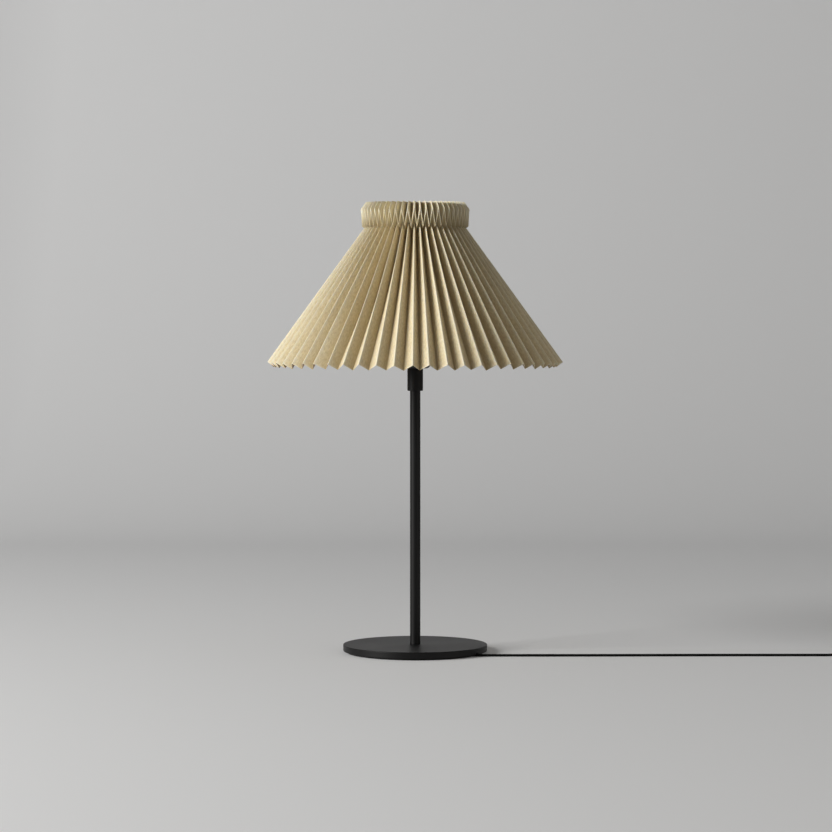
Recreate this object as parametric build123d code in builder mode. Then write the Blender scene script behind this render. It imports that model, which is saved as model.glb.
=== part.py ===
"""Pleated paper table lamp: steel disc base, black tube, E27 lampholder, wire carrier, folded paper shade.

Millimetres, +Z up. The origin is the centre of the base on the table. The front is -Y, the lead leaves to +X.
"""

from build123d import *
import math
import os

os.makedirs("parts", exist_ok=True)

# ---- clearances ----
thread_gap = 0.05  # radial, between a thread's two plain cylinders
slip_gap = 0.1  # radial, between pieces that push together
free_gap = 0.3  # between pieces that move apart by hand

# ---- base ----
base_d = 180.0
plate_t = 8.0
plate_edge_r = 0.8
pad_t = 2.2
pad_inset = 5.0
recess_r = 14.0
recess_depth = 5.3
washer_d = 20.0
washer_t = 0.6
nut_flats = 14.0
nut_t = 2.5

# ---- lead, as it lies ----
cord_d = 3.2
cord_y = -47.2
hidden_cord_z = 2.6
groove_side_gap = 0.6
groove_top_gap = 0.4
flex_offset_y = 1.9
flex_turn_r = 5 * cord_d
flex_drop_x = 40.0
flex_drop_run = 22.0
clamp_y = -23.0
clamp_length = 20.0
clamp_width = 8.0
clamp_sheet = 0.8
clamp_screw_spacing = 13.0
clamp_screw_d = 3.0
clamp_screw_head_d = 5.0
clamp_screw_length = 4.0
clamp_gap = 0.5
flex_above_locknut = 4.0
arc_share = 0.45  # a lead's bend takes this share of the shorter run beside it

# ---- stem ----
tube_d = 13.0
tube_bore = 9.0
tube_length = 334.8
thread_d = 10.0
nipple_bore = 7.6
tapped_depth = 14.0
nipple_end_gap = 1.0
collar_d = 19.6
collar_length = 28.0
collar_web = 10.0
collar_edge = 0.6
grub_d = 4.0
grub_height = 9.0
grub_key = 2.0

# ---- lampholder ----
holder_d = 38.0
holder_corner_r = 5.0
cap_height = 29.0
cap_wall = 2.0
cap_floor = 3.0
locknut_t = 3.0
shell_height = 28.0
shell_spigot = 7.0
shell_bore = 31.0
shell_lip = 3.5
shell_thread_d = 36.6
shell_flange_height = 5.0
insert_height = 8.0
contact_sleeve_height = 20.0
contact_sleeve_wall = 0.4
contact_leaf_t = 0.5
contact_leaf_rise = 2.2
terminal_screw_d = 3.0
terminal_head_d = 6.0
terminal_head_h = 1.8
terminal_spacing = 14.0
wire_core_d = 1.6

# ---- bulb ----
bulb_cap_d = 26.0
bulb_cap_height = 20.0
bulb_tip_d = 9.0
bulb_tip_height = 1.6
bulb_insulator_height = 4.0
bulb_insulator_edge = 1.0
bulb_d = 60.0
bulb_neck_d = 27.0
bulb_globe_height = 49.0
bulb_glass_t = 0.8
filament_d = 1.8
filament_length = 34.0
filament_count = 4

# ---- shade ----
pleat_count = 54
pleat_phase = -1.2
paper_t = 0.3
skirt_ridge_r = 184.3
skirt_valley_inset = 8.2
skirt_ridge_length = 221.2
skirt_valley_length = 207.1
skirt_ridge_rise = 53.97
skirt_valley_rise = 52.9
skirt_below_ridge = 6.5
shade_drop = 1.9
collar_turn_length = 17.6
collar_turn_rise = 37.3
collar_band_ridge_length = 11.1
collar_band_valley_length = 33.5  # the folded collar's top edge is trimmed nearly level
collar_band_rise = 54.0

# ---- shade carrier ----
hub_d = 60.0
hub_t = 1.5
hub_height = 41.0
hub_hole_gap = 0.7  # radial, round the shell's thread
shade_nut_d = 50.0
shade_nut_h = 6.0
shade_nut_sides = 24
wire_d = 3.0
arm_knee_r = 42.0
arm_bend_r = 8.0
arm_azimuths = (60, 180, 300)
ring_below_neck = 9.7
weld_sink = 0.4

# ---- in-line switch ----
switch_x = 552.0
switch_y = -43.8
switch_length = 58.0
switch_width = 22.0
switch_height = 14.0
switch_split = 6.4
switch_wall = 1.8
switch_corner = 5.0
switch_foot_edge = 0.6
switch_cord_z = 5.2
rocker_reach = 9.6
rocker_width = 9.0
rocker_tilt = 8.0
rocker_pivot_z = 9.6
rocker_low_angle = 15.0
rocker_high_angle = 33.0
rocker_dip = 3.9
pin_d = 2.0
pin_length = 13.0
lug_thickness = 2.2
lug_length = 6.0
switch_screw_d = 2.4
switch_screw_head_d = 4.6
switch_screw_spacing = 46.0
switch_screw_tip_gap = 0.6
switch_contact_spacing = 16.0

# ---- plug ----
plug_axis_y = 45.5
plug_axis_z = 6.85
plug_boot_x = 616.0
boot_length = 22.0
boot_d = 9.0
boot_lip = 0.6
plug_length = 34.0
plug_width = 35.3
plug_height = 13.7
plug_back_width = 15.0
plug_back_height = 11.0
plug_corner = 3.0
pin_spacing = 18.6
plug_pin_d = 4.0
plug_pin_length = 19.0
plug_pin_edge = 1.0
plug_pin_core_d = 3.0
plug_sleeve_length = 10.0
plug_sleeve_d = 3.8

# ---- coil of spare lead ----
coil_x = 648.0
coil_outer_r = 23.4
coil_pitch = 3.75
coil_layer = 3.7
coil_layers = 4
coil_turns_per_layer = 2.25
coil_last_extra = 0.25
coil_gap_samples = 700

# ---- heights worked out from the above ----
plate_top = pad_t + plate_t
tube_top = plate_top + tube_length
collar_top = tube_top + collar_web
collar_bottom = collar_top - collar_length
holder_z = collar_top
cap_top = holder_z + cap_height
shell_top = cap_top + shell_height
hub_z = holder_z + hub_height
cord_r = cord_d / 2
cord_z = cord_r
nipple_r = thread_d / 2
base_r = base_d / 2


def save_names(piece, name):
    """Labels a finished piece and writes it under the same name."""
    piece.part.label = name
    export_step(piece.part, f"parts/{name}.step")


def upright(azimuth):
    """Vertical plane through the lamp's axis, with its x pointing outwards at this azimuth."""
    outwards = Vector(1, 0, 0).rotate(Axis.Z, azimuth)
    sideways = Vector(0, -1, 0).rotate(Axis.Z, azimuth)
    return Plane(origin=(0, 0, 0), x_dir=outwards, z_dir=sideways)


def turned(*corners):
    """Closed outline in radius and height, to be revolved about the lamp's axis."""
    with BuildSketch(Plane.XZ) as outline:
        with BuildLine():
            Polyline(*corners, close=True)
        make_face()
    return outline.sketch


def start_plane(path):
    """Plane across the start of a path, for the section that is swept along it."""
    return Plane(origin=path @ 0, z_dir=path % 0)


def cord_radii(route):
    """Bend radii of a lead's route, each as large as the two runs beside it allow."""
    radii = []
    for before, corner, after in zip(route, route[1:], route[2:]):
        run_in = Vector(*corner) - Vector(*before)
        run_out = Vector(*after) - Vector(*corner)
        half_turn = math.radians(run_in.get_angle(run_out)) / 2
        radii.append(arc_share * min(run_in.length, run_out.length) / math.tan(half_turn))
    return radii


def cord_path(name, route):
    """Straight runs joined by tangent arcs."""
    radii = cord_radii(route)
    with BuildLine() as path:
        FilletPolyline(*route, radius=radii)
    whole = path.wires()[0]
    print(name, "length", round(whole.length, 1), "radii", [round(r, 1) for r in radii])
    return whole


# ---------------------------------------------------------------- base
# The lead's way under the base: from the centre recess to the front, then to the rim on the right.
rim_x = math.sqrt(base_r**2 - cord_y**2)
groove_width = cord_d + 2 * groove_side_gap
groove_depth = hidden_cord_z + cord_r + groove_top_gap - pad_t
past_rim = 10.0

with BuildSketch() as groove_plan:
    with BuildLine():
        FilletPolyline((0, 0), (0, cord_y), (rim_x + past_rim, cord_y), radius=flex_turn_r)
    trace(line_width=groove_width)

with BuildPart() as base_plate:
    with BuildSketch(Plane.XY.offset(pad_t)):
        Circle(base_r)
    extrude(amount=plate_t)
    fillet(base_plate.edges().group_by(Axis.Z)[-1], plate_edge_r)
    chamfer(base_plate.edges().group_by(Axis.Z)[0], plate_edge_r / 2)
    with BuildSketch(Plane.XY.offset(pad_t)):
        Circle(recess_r)
    extrude(amount=recess_depth, mode=Mode.SUBTRACT)
    with BuildSketch(Plane.XY.offset(pad_t)):
        add(groove_plan.sketch)
    extrude(amount=groove_depth, mode=Mode.SUBTRACT)
    with BuildSketch(Plane.XY.offset(pad_t)):
        Circle(nipple_r + slip_gap)
    extrude(amount=plate_t, mode=Mode.SUBTRACT)
    with BuildSketch(Plane.XY.offset(pad_t)):
        with Locations((-clamp_screw_spacing / 2, clamp_y), (clamp_screw_spacing / 2, clamp_y)):
            Circle(clamp_screw_d / 2 + thread_gap)
    extrude(amount=clamp_screw_length, mode=Mode.SUBTRACT)
save_names(base_plate, "base_plate")

with BuildPart() as base_pad:
    with BuildSketch():
        Circle(base_r - pad_inset)
        Circle(recess_r, mode=Mode.SUBTRACT)
        add(groove_plan.sketch, mode=Mode.SUBTRACT)
        with Locations((0, clamp_y)):
            Rectangle(clamp_length + 2 * clamp_gap, clamp_width + 2 * clamp_gap, mode=Mode.SUBTRACT)
    extrude(amount=pad_t)
save_names(base_pad, "base_pad")

washer_top = pad_t + recess_depth
nut_top = washer_top - washer_t
nipple_bottom = nut_top - nut_t

with BuildPart() as base_washer:
    with BuildSketch(Plane.XY.offset(nut_top)):
        Circle(washer_d / 2)
        Circle(nipple_r + slip_gap, mode=Mode.SUBTRACT)
    extrude(amount=washer_t)
save_names(base_washer, "base_washer")

with BuildPart() as base_nut:
    with BuildSketch(Plane.XY.offset(nipple_bottom)):
        RegularPolygon(radius=nut_flats / 2, side_count=6, major_radius=False)
        Circle(nipple_r + thread_gap, mode=Mode.SUBTRACT)
    extrude(amount=nut_t)
save_names(base_nut, "base_nut")

with BuildPart() as base_nipple:
    with BuildSketch(Plane.XY.offset(nipple_bottom)):
        Circle(nipple_r)
        Circle(nipple_bore / 2, mode=Mode.SUBTRACT)
    extrude(amount=plate_top + tapped_depth - nipple_end_gap - nipple_bottom)
save_names(base_nipple, "base_nipple")

# The strap goes under the lead and its raised ends are screwed to the plate.
clamp_bottom = hidden_cord_z - cord_r - clamp_sheet
clamp_inner = groove_width / 2 + clamp_sheet
with BuildPart() as cord_clamp:
    with BuildSketch(Plane.XZ.offset(-clamp_y - clamp_width / 2)):
        with BuildLine():
            Polyline(
                (-clamp_length / 2, pad_t),
                (-clamp_inner + clamp_sheet, pad_t),
                (-clamp_inner + clamp_sheet, clamp_bottom + clamp_sheet),
                (clamp_inner - clamp_sheet, clamp_bottom + clamp_sheet),
                (clamp_inner - clamp_sheet, pad_t),
                (clamp_length / 2, pad_t),
                (clamp_length / 2, pad_t - clamp_sheet),
                (clamp_inner, pad_t - clamp_sheet),
                (clamp_inner, clamp_bottom),
                (-clamp_inner, clamp_bottom),
                (-clamp_inner, pad_t - clamp_sheet),
                (-clamp_length / 2, pad_t - clamp_sheet),
                close=True,
            )
        make_face()
    extrude(amount=clamp_width)
    with BuildSketch(Plane.XY):
        with Locations((-clamp_screw_spacing / 2, clamp_y), (clamp_screw_spacing / 2, clamp_y)):
            Circle(clamp_screw_d / 2 + slip_gap)
    extrude(amount=pad_t, mode=Mode.SUBTRACT)
save_names(cord_clamp, "cord_clamp")

with BuildPart() as cord_clamp_screws:
    for side in (-1, 1):
        with BuildSketch(Plane.XY.offset(clamp_bottom)):
            with Locations((side * clamp_screw_spacing / 2, clamp_y)):
                Circle(clamp_screw_head_d / 2)
        extrude(amount=pad_t - clamp_sheet - clamp_bottom)
        with BuildSketch(Plane.XY.offset(pad_t - clamp_sheet)):
            with Locations((side * clamp_screw_spacing / 2, clamp_y)):
                Circle(clamp_screw_d / 2)
        extrude(amount=clamp_screw_length)
save_names(cord_clamp_screws, "cord_clamp_screws")

# ---------------------------------------------------------------- stem
with BuildPart() as stem_tube:
    with BuildSketch(Plane.XY.offset(plate_top)):
        Circle(tube_d / 2)
        Circle(tube_bore / 2, mode=Mode.SUBTRACT)
    extrude(amount=tube_length)
    for bottom in (plate_top, tube_top - tapped_depth):
        with BuildSketch(Plane.XY.offset(bottom)):
            Circle(nipple_r + thread_gap)
        extrude(amount=tapped_depth, mode=Mode.SUBTRACT)
save_names(stem_tube, "stem_tube")

grub_z = collar_bottom + grub_height
with BuildPart() as stem_collar:
    with BuildSketch(Plane.XY.offset(collar_bottom)):
        Circle(collar_d / 2)
    extrude(amount=collar_length)
    chamfer(stem_collar.edges().group_by(Axis.Z)[-1], collar_edge)
    chamfer(stem_collar.edges().group_by(Axis.Z)[0], collar_edge)
    with BuildSketch(Plane.XY.offset(collar_bottom)):
        Circle(tube_d / 2 + thread_gap)
    extrude(amount=collar_length - collar_web, mode=Mode.SUBTRACT)
    with BuildSketch(Plane.XY.offset(collar_bottom)):
        Circle(nipple_r + thread_gap)
    extrude(amount=collar_length, mode=Mode.SUBTRACT)
    with BuildSketch(Plane.XZ):
        with Locations((0, grub_z)):
            Circle(grub_d / 2 + thread_gap)
    extrude(amount=-collar_d, mode=Mode.SUBTRACT)
save_names(stem_collar, "stem_collar")

# The grub screw bears on the tube from behind and stays just under the collar's face.
grub_start = tube_d / 2 + thread_gap
grub_length = collar_d / 2 - grub_start - collar_edge
with BuildPart() as collar_grub_screw:
    with BuildSketch(Plane.XZ.offset(-grub_start)):
        with Locations((0, grub_z)):
            Circle(grub_d / 2)
    extrude(amount=-grub_length)
    with BuildSketch(Plane.XZ.offset(-grub_start - grub_length)):
        with Locations((0, grub_z)):
            RegularPolygon(radius=grub_key / 2, side_count=6, major_radius=False)
    extrude(amount=grub_length / 2, mode=Mode.SUBTRACT)
save_names(collar_grub_screw, "collar_grub_screw")

locknut_z = holder_z + cap_floor
upper_nipple_z = tube_top - tapped_depth + nipple_end_gap
with BuildPart() as upper_nipple:
    with BuildSketch(Plane.XY.offset(upper_nipple_z)):
        Circle(nipple_r)
        Circle(nipple_bore / 2, mode=Mode.SUBTRACT)
    extrude(amount=locknut_z + locknut_t - upper_nipple_z)
save_names(upper_nipple, "upper_nipple")

# ---------------------------------------------------------------- lampholder
with BuildPart() as holder_cap:
    with BuildSketch(Plane.XY.offset(holder_z)):
        Circle(holder_d / 2)
    extrude(amount=cap_height)
    fillet(holder_cap.edges().group_by(Axis.Z)[0], holder_corner_r)
    with BuildSketch(Plane.XY.offset(holder_z + cap_floor)):
        Circle(holder_d / 2 - cap_wall)
    extrude(amount=cap_height - cap_floor, mode=Mode.SUBTRACT)
    floor_edge = holder_cap.edges().filter_by_position(Axis.Z, locknut_z - slip_gap, locknut_z + slip_gap)
    fillet(floor_edge, holder_corner_r - cap_wall)
    with BuildSketch(Plane.XY.offset(holder_z)):
        Circle(nipple_r + slip_gap)
    extrude(amount=cap_floor, mode=Mode.SUBTRACT)
save_names(holder_cap, "holder_cap")

with BuildPart() as holder_locknut:
    with BuildSketch(Plane.XY.offset(locknut_z)):
        RegularPolygon(radius=nut_flats / 2, side_count=6, major_radius=False)
        Circle(nipple_r + thread_gap, mode=Mode.SUBTRACT)
    extrude(amount=locknut_t)
save_names(holder_locknut, "holder_locknut")

# The shell pushes into the cap with a spigot, and carries a coarse thread for the two ring nuts.
spigot_r = holder_d / 2 - cap_wall - slip_gap
shell_bottom = cap_top - shell_spigot
insert_z = shell_bottom + shell_lip
thread_r = shell_thread_d / 2
with BuildPart() as holder_shell:
    add(
        revolve(
            turned(
                (shell_bore / 2 - shell_lip, shell_bottom),
                (spigot_r, shell_bottom),
                (spigot_r, cap_top),
                (holder_d / 2, cap_top),
                (holder_d / 2, cap_top + shell_flange_height),
                (thread_r, cap_top + shell_flange_height),
                (thread_r, shell_top),
                (shell_bore / 2, shell_top),
                (shell_bore / 2, insert_z),
                (shell_bore / 2 - shell_lip, insert_z),
            ),
            axis=Axis.Z,
            mode=Mode.PRIVATE,
        )
    )
save_names(holder_shell, "holder_shell")

insert_top = insert_z + insert_height
insert_r = shell_bore / 2 - slip_gap
with BuildPart() as holder_insert:
    with BuildSketch(Plane.XY.offset(insert_z)):
        Circle(insert_r)
        with Locations((-terminal_spacing / 2, 0), (terminal_spacing / 2, 0)):
            Circle(terminal_screw_d / 2 + thread_gap, mode=Mode.SUBTRACT)
    extrude(amount=insert_height)
save_names(holder_insert, "holder_insert")

sleeve_r = bulb_cap_d / 2 + free_gap
with BuildPart() as holder_screw_contact:
    with BuildSketch(Plane.XY.offset(insert_top)):
        Circle(sleeve_r + contact_sleeve_wall)
        Circle(sleeve_r, mode=Mode.SUBTRACT)
    extrude(amount=contact_sleeve_height)
save_names(holder_screw_contact, "holder_screw_contact")

# A bent leaf: flat foot on the insert, rising to the middle.
leaf_top = insert_top + contact_leaf_rise
leaf_foot_inner = 4.0
leaf_foot_outer = 5.6
leaf_half = 2.5
leaf_width = 4.0
with BuildPart() as holder_centre_contact:
    with BuildSketch(Plane.XZ.offset(-leaf_width / 2)):
        with BuildLine():
            Polyline(
                (-leaf_foot_outer, insert_top),
                (-leaf_foot_inner, insert_top),
                (-leaf_half, leaf_top - contact_leaf_t),
                (leaf_half, leaf_top - contact_leaf_t),
                (leaf_foot_inner, insert_top),
                (leaf_foot_outer, insert_top),
                (leaf_foot_outer, insert_top + contact_leaf_t),
                (leaf_foot_inner + contact_leaf_t, insert_top + contact_leaf_t),
                (leaf_half + contact_leaf_t, leaf_top),
                (-leaf_half - contact_leaf_t, leaf_top),
                (-leaf_foot_inner - contact_leaf_t, insert_top + contact_leaf_t),
                (-leaf_foot_outer, insert_top + contact_leaf_t),
                close=True,
            )
        make_face()
    extrude(amount=leaf_width)
save_names(holder_centre_contact, "holder_centre_contact")

with BuildPart() as holder_terminal_screws:
    for side in (-1, 1):
        with BuildSketch(Plane.XY.offset(insert_z)):
            with Locations((side * terminal_spacing / 2, 0)):
                Circle(terminal_screw_d / 2)
        extrude(amount=insert_height)
        with BuildSketch(Plane.XY.offset(insert_z - terminal_head_h)):
            with Locations((side * terminal_spacing / 2, 0)):
                Circle(terminal_head_d / 2)
        extrude(amount=terminal_head_h)
save_names(holder_terminal_screws, "holder_terminal_screws")

# ---------------------------------------------------------------- shade
half_pleat = 180.0 / pleat_count


def along(rise):
    """Direction in radius and height of a crease that goes up at this angle: outwards if under 90."""
    return Vector(math.cos(math.radians(rise)), math.sin(math.radians(rise)), 0)


def crease(foot_r, foot_z, skirt_length, skirt_rise, band_length):
    """Corners of one crease in radius and height, from the skirt's hem to the collar's edge."""
    foot = Vector(foot_r, foot_z, 0)
    neck = foot + along(180 - skirt_rise) * skirt_length
    brim = neck + along(collar_turn_rise) * collar_turn_length
    edge = brim + along(180 - collar_band_rise) * band_length
    return [foot, neck, brim, edge]


valley_foot_z = holder_z + shade_drop
ridge = crease(
    skirt_ridge_r,
    valley_foot_z + skirt_below_ridge,
    skirt_ridge_length,
    skirt_ridge_rise,
    collar_band_ridge_length,
)
valley = crease(
    skirt_ridge_r - skirt_valley_inset,
    valley_foot_z,
    skirt_valley_length,
    skirt_valley_rise,
    collar_band_valley_length,
)


def sheet_shift(point, neighbour, outward):
    """How far a crease moves inwards, across itself, when both its facets move by the paper's thickness."""
    aside = neighbour.X * math.sin(math.radians(half_pleat))
    level = Vector(neighbour.X * math.cos(math.radians(half_pleat)), neighbour.Y, 0)
    depth = (point - level).dot(outward)
    return paper_t * math.hypot(aside, depth) / aside


def inner_face(points, neighbours):
    """The same crease on the sheet's inner face: where its moved stretches meet."""
    moved = []
    for index, point in enumerate(points):
        lines = []
        for start in (index - 1, index):
            if 0 <= start < len(points) - 1:
                upwards = (points[start + 1] - points[start]).normalized()
                outward = Vector(upwards.Y, -upwards.X, 0)
                shift = sheet_shift(point, neighbours[index], outward)
                lines.append((point - outward * shift, upwards))
        if len(lines) == 1:
            moved.append(lines[0][0])
        else:
            (first, way), (second, other_way) = lines
            turn = way.X * other_way.Y - way.Y * other_way.X
            gap = second - first
            moved.append(first + way * ((gap.X * other_way.Y - gap.Y * other_way.X) / turn))
    return moved


ridge_inside = inner_face(ridge, valley)
valley_inside = inner_face(valley, ridge)


def at_azimuth(points, azimuth):
    """Corners of a crease, turned to their place round the axis."""
    return [Vector(p.X, 0, p.Y).rotate(Axis.Z, azimuth) for p in points]


def triangle(*corners):
    return Face(Wire.make_polygon(corners, close=True))


def panel(low_a, low_b, high_b, high_a):
    """Two triangles between two creases, split along the shorter way from crease a up to crease b."""
    return [triangle(low_a, low_b, high_b), triangle(low_a, high_b, high_a)]


paper_faces = []
for pleat in range(pleat_count):
    middle = -90 + pleat_phase + 2 * half_pleat * pleat
    ridge_out = at_azimuth(ridge, middle)
    ridge_in = at_azimuth(ridge_inside, middle)
    for side in (-1, 1):
        valley_out = at_azimuth(valley, middle + side * half_pleat)
        valley_in = at_azimuth(valley_inside, middle + side * half_pleat)
        for low in range(len(ridge) - 1):
            high = low + 1
            paper_faces += panel(ridge_out[low], valley_out[low], valley_out[high], ridge_out[high])
            paper_faces += panel(ridge_in[low], valley_in[low], valley_in[high], ridge_in[high])
        for end in (0, -1):
            paper_faces += panel(ridge_out[end], valley_out[end], valley_in[end], ridge_in[end])

with BuildPart() as pleated_shade:
    add(Solid(Shell(paper_faces)))
save_names(pleated_shade, "pleated_shade")

# ---------------------------------------------------------------- shade carrier
# The ring's wire lies just under the inner valley creases, a little below the neck.
valley_up = (valley_inside[1] - valley_inside[0]).normalized()
valley_across = Vector(valley_up.Y, -valley_up.X, 0)
ring_touch = valley_inside[1] - valley_up * (ring_below_neck / valley_up.Y)
ring_centre = ring_touch - valley_across * (wire_d / 2 + free_gap)
arm_start_r = shade_nut_d / 2 + wire_d / 2
arm_z = hub_z + hub_t + wire_d / 2 - weld_sink


def arm_route(azimuth):
    with BuildLine(upright(azimuth)) as arm:
        FilletPolyline(
            (arm_start_r, arm_z), (arm_knee_r, arm_z), (ring_centre.X, ring_centre.Y), radius=arm_bend_r
        )
    return arm.line


arm_paths = [arm_route(azimuth) for azimuth in arm_azimuths]
with BuildPart() as shade_carrier:
    with BuildSketch(Plane.XY.offset(hub_z)):
        Circle(hub_d / 2)
        Circle(thread_r + hub_hole_gap, mode=Mode.SUBTRACT)
    extrude(amount=hub_t)
    with BuildSketch(Plane.XZ):
        with Locations((ring_centre.X, ring_centre.Y)):
            Circle(wire_d / 2)
    revolve(axis=Axis.Z)
    for arm in arm_paths:
        with BuildSketch(start_plane(arm)):
            Circle(wire_d / 2)
        sweep(path=arm)
save_names(shade_carrier, "shade_carrier")


def shade_nut(bottom):
    """A ring nut with flats on its rim for the fingers."""
    with BuildPart() as nut:
        with BuildSketch(Plane.XY.offset(bottom)):
            RegularPolygon(radius=shade_nut_d / 2, side_count=shade_nut_sides)
            Circle(thread_r + thread_gap, mode=Mode.SUBTRACT)
        extrude(amount=shade_nut_h)
    return nut


save_names(shade_nut(hub_z - shade_nut_h), "shade_nut_lower")
save_names(shade_nut(hub_z + hub_t), "shade_nut_upper")

# ---------------------------------------------------------------- bulb
tip_z = leaf_top + free_gap
insulator_z = tip_z + bulb_tip_height
bulb_cap_z = insulator_z + bulb_insulator_height
glass_z = bulb_cap_z + bulb_cap_height
cap_r = bulb_cap_d / 2
with BuildPart() as bulb_contact:
    with BuildSketch(Plane.XY.offset(tip_z)):
        Circle(bulb_tip_d / 2)
    extrude(amount=bulb_tip_height)
    fillet(bulb_contact.edges().group_by(Axis.Z)[0], bulb_tip_height / 2)
save_names(bulb_contact, "bulb_contact")

with BuildPart() as bulb_insulator:
    with BuildSketch(Plane.XZ):
        with BuildLine():
            Polyline(
                (0, insulator_z),
                (bulb_tip_d / 2, insulator_z),
                (cap_r - bulb_insulator_edge, bulb_cap_z),
                (0, bulb_cap_z),
                close=True,
            )
        make_face()
    revolve(axis=Axis.Z)
save_names(bulb_insulator, "bulb_insulator")

bulb_cap_wall = 0.5
with BuildPart() as bulb_cap:
    with BuildSketch(Plane.XY.offset(bulb_cap_z)):
        Circle(cap_r)
        Circle(cap_r - bulb_cap_wall, mode=Mode.SUBTRACT)
    extrude(amount=bulb_cap_height)
save_names(bulb_cap, "bulb_cap")

globe_centre_z = glass_z + bulb_globe_height
neck_joint_angle = -40.0


def bulb_outline(inset):
    """Outline of the bulb's glass in radius and height, moved inwards by the inset."""
    globe_r = bulb_d / 2 - inset
    joint = (
        globe_r * math.cos(math.radians(neck_joint_angle)),
        globe_centre_z + globe_r * math.sin(math.radians(neck_joint_angle)),
    )
    side = (
        globe_r * math.cos(math.radians(neck_joint_angle / 4)),
        globe_centre_z + globe_r * math.sin(math.radians(neck_joint_angle / 4)),
    )
    top = (0, globe_centre_z + globe_r)
    with BuildSketch(Plane.XZ) as outline:
        with BuildLine():
            Line((0, glass_z + inset), (bulb_neck_d / 2 - inset, glass_z + inset))
            Line((bulb_neck_d / 2 - inset, glass_z + inset), joint)
            ThreePointArc(joint, side, top)
            Line(top, (0, glass_z + inset))
        make_face()
    return outline.sketch


with BuildPart() as bulb_glass:
    add(revolve(bulb_outline(0), axis=Axis.Z, mode=Mode.PRIVATE))
    add(revolve(bulb_outline(bulb_glass_t), axis=Axis.Z, mode=Mode.PRIVATE), mode=Mode.SUBTRACT)
save_names(bulb_glass, "bulb_glass")

mount_r = 5.0
mount_top_r = 2.0
mount_height = 30.0
mount_z = glass_z + bulb_glass_t
with BuildPart() as bulb_mount:
    with BuildSketch(Plane.XY.offset(mount_z)):
        Circle(mount_r)
    with BuildSketch(Plane.XY.offset(mount_z + mount_height)):
        Circle(mount_top_r)
    loft()
save_names(bulb_mount, "bulb_mount")

filament_lean = 12.0
filament_foot_r = mount_top_r + filament_d
with BuildPart() as bulb_filaments:
    for number in range(filament_count):
        azimuth = number * 360 / filament_count
        foot = Vector(filament_foot_r, 0, mount_z + mount_height - filament_d).rotate(Axis.Z, azimuth)
        lean = Vector(math.sin(math.radians(filament_lean)), 0, math.cos(math.radians(filament_lean)))
        with BuildSketch(Plane(origin=foot, z_dir=lean.rotate(Axis.Z, azimuth))):
            Circle(filament_d / 2)
        extrude(amount=filament_length)
save_names(bulb_filaments, "bulb_filaments")

# ---------------------------------------------------------------- lead inside the lamp
flex_top = locknut_z + locknut_t + flex_above_locknut
drop_end_x = flex_drop_x + flex_drop_run
flex_bend_r = 2 * cord_d
drop_bend_r = 60.0
flex_route = (
    (0, flex_offset_y, flex_top),
    (0, flex_offset_y, hidden_cord_z),
    (0, cord_y, hidden_cord_z),
    (flex_drop_x, cord_y, hidden_cord_z),
    (drop_end_x, cord_y, cord_z),
    (rim_x, cord_y, cord_z),
)
with BuildLine() as flex_line:
    FilletPolyline(*flex_route, radius=[flex_bend_r, flex_turn_r, drop_bend_r, drop_bend_r])
flex_path = flex_line.wires()[0]
with BuildPart() as stem_flex:
    with BuildSketch(start_plane(flex_path)):
        Circle(cord_r)
    sweep(path=flex_path)
print("stem_flex length", round(flex_path.length, 1))
save_names(stem_flex, "stem_flex")

# The two cores fan out from the lead to the terminal screws.
terminal_z = insert_z - terminal_head_h


def core_path(side):
    with BuildLine() as core:
        FilletPolyline(
            (side * wire_core_d / 2, flex_offset_y, flex_top),
            (side * wire_core_d / 2, flex_offset_y, flex_top + wire_core_d),
            (side * terminal_spacing / 2, 0, terminal_z - wire_core_d),
            (side * terminal_spacing / 2, 0, terminal_z),
            radius=wire_core_d / 2,
        )
    return core.line


core_paths = [core_path(side) for side in (-1, 1)]
with BuildPart() as holder_wires:
    for core in core_paths:
        with BuildSketch(start_plane(core)):
            Circle(wire_core_d / 2 - thread_gap)
        sweep(path=core)
save_names(holder_wires, "holder_wires")

# ---------------------------------------------------------------- lead on the table
# It lies almost straight from the rim, then rises into the switch.
run_route = (
    (rim_x, cord_y, cord_z),
    (225, -47.0, cord_z),
    (340, -44.3, cord_z),
    (520, switch_y, cord_z),
    (542, switch_y, switch_cord_z),
    (switch_x, switch_y, switch_cord_z),
)
run_path = cord_path("cord_run", run_route)
with BuildPart() as cord_run:
    with BuildSketch(start_plane(run_path)):
        Circle(cord_r)
    sweep(path=run_path)
save_names(cord_run, "cord_run")

switch_end_x = switch_x + switch_length
lead_route = (
    (switch_end_x, switch_y, switch_cord_z),
    (618, switch_y, switch_cord_z),
    (636, switch_y, cord_z),
    (coil_x - cord_d, switch_y, cord_z),
)
lead_path = cord_path("cord_lead", lead_route)
with BuildPart() as cord_lead:
    with BuildSketch(start_plane(lead_path)):
        Circle(cord_r)
    sweep(path=lead_path)
save_names(cord_lead, "cord_lead")

# The coil goes in and out again through four layers, and climbs one in each half turn where it reverses.
coil_y = switch_y + coil_outer_r
coil_turns = coil_layers * coil_turns_per_layer + coil_last_extra
quarters_per_layer = round(4 * coil_turns_per_layer)
climb_share = 0.25


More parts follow.
